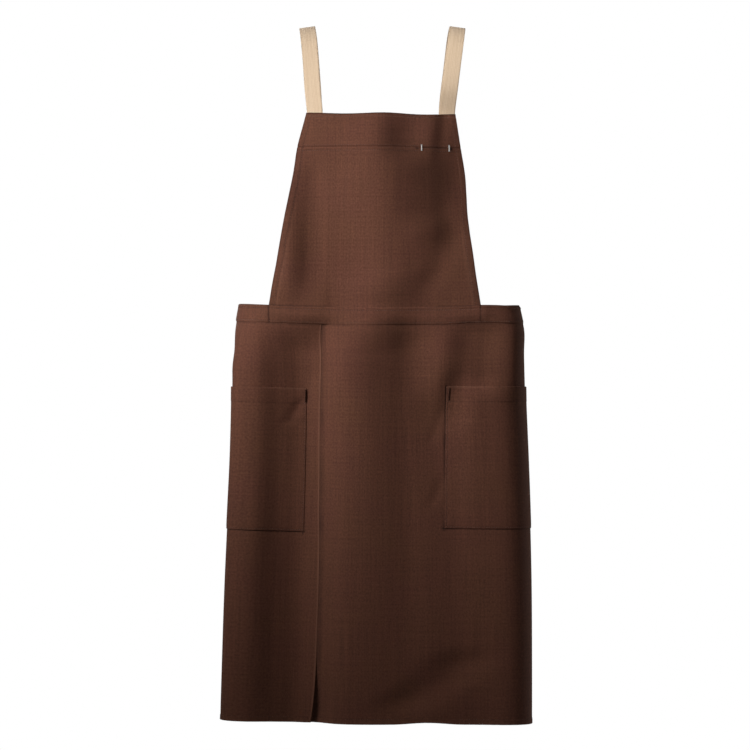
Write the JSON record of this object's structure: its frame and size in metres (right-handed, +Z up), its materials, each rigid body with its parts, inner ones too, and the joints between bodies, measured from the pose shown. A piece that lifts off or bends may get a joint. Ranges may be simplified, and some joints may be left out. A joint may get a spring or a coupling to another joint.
{
  "type": "work apron",
  "caption": "Dark brown bib work apron with a pen slot, a waistband, a wrapped skirt with a front slit, patch pockets at the sides and beige webbing shoulder straps.",
  "frame": {"origin": "midway between the straps, level with where they rest on the shoulders", "axes": "+Z up, +X to the right as seen from the front, -Y out of the apron's front"},
  "size_m": [0.4363, 0.2453, 0.9798],
  "materials": {
    "twill": "matt brown work twill",
    "webbing": "matt beige cotton webbing"
  },
  "bodies": {
    "root": {"bib_panel": "twill", "bib_top_band": "twill", "pen_pocket_bag": "twill", "waistband": "twill", "skirt_over_panel": "twill", "skirt_under_panel": "twill", "pocket_left": "twill", "pocket_right": "twill", "strap_left": "webbing", "strap_right": "webbing"}
  },
  "joints": []
}
